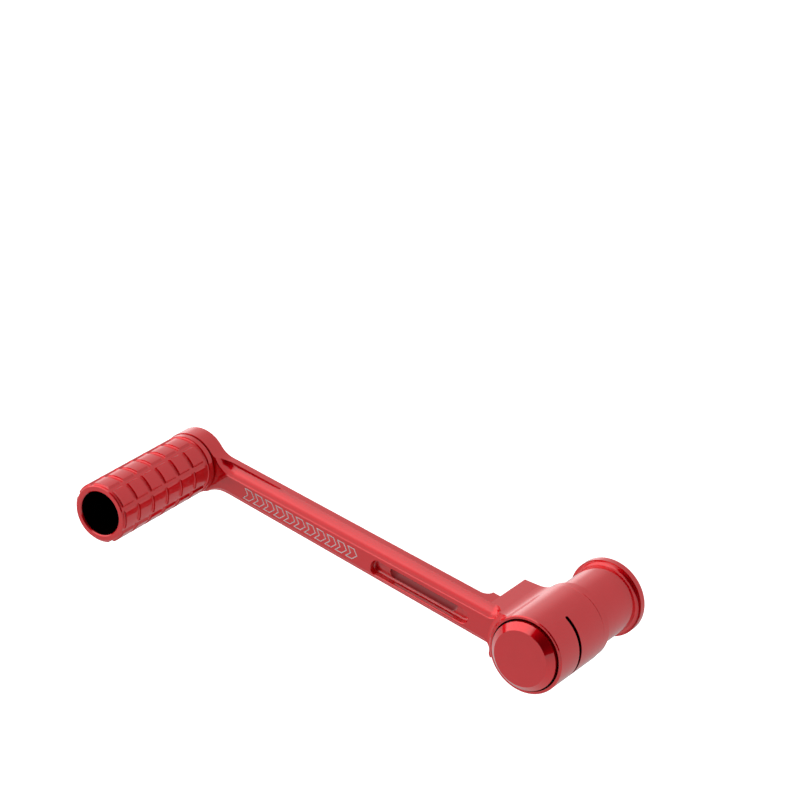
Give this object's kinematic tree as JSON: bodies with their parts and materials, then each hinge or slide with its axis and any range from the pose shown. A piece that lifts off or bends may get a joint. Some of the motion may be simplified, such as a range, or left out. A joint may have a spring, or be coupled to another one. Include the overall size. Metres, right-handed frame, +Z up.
{
  "type": "gear shift lever",
  "caption": "Foot gear shift lever: splined clamp hub with a rear sleeve and bevelled cap, fluted arm with a window, and a ribbed toe peg that turns on a shoulder bolt.",
  "frame": {"origin": "centre of the splined clamp bore, on the shift shaft's axis", "axes": "+X along the arm from the hub to the toe peg, +Y outboard along the shift shaft, +Z up"},
  "size_m": [0.1985, 0.1229, 0.0332],
  "materials": {
    "red_anodised": "satin red anodised, machined",
    "red_anodised_cap": "satin red anodised, turned",
    "red_anodised_turned": "satin red anodised, turned",
    "red_anodised_peg": "satin red anodised, machined ribs",
    "black_rubber": "matt black rubber",
    "stainless_steel": "turned stainless steel",
    "spring_steel": "spring steel",
    "black_oxide_steel": "black oxide steel",
    "bronze": "sintered bronze",
    "white_nylon": "natural nylon"
  },
  "bodies": {
    "lever": {"lever_body": "red_anodised", "hub_cap": "red_anodised_cap", "cap_gap_o_ring": "black_rubber", "cap_grip_o_rings": "black_rubber", "rear_sleeve": "red_anodised_turned", "sleeve_o_ring": "black_rubber", "shaft_bushing": "bronze", "shaft_seal": "black_rubber", "pinch_bolt": "stainless_steel", "pinch_washer": "stainless_steel", "pinch_thread_insert": "stainless_steel", "peg_thrust_washer": "white_nylon", "peg_flat_washer": "stainless_steel", "peg_spring_washer": "spring_steel", "peg_bolt": "black_oxide_steel", "peg_thread_insert": "stainless_steel"},
    "toe_peg": {"peg_sleeve": "red_anodised_peg", "peg_inner_bush": "bronze", "peg_outer_bush": "bronze", "peg_o_ring": "black_rubber"}
  },
  "joints": [
    {"name": "toe_peg_spin", "type": "hinge", "parent": "lever", "child": "toe_peg", "pos_m": [0.169, 0.0474, 0], "axis": [0, 1, 0], "continuous": true}
  ]
}
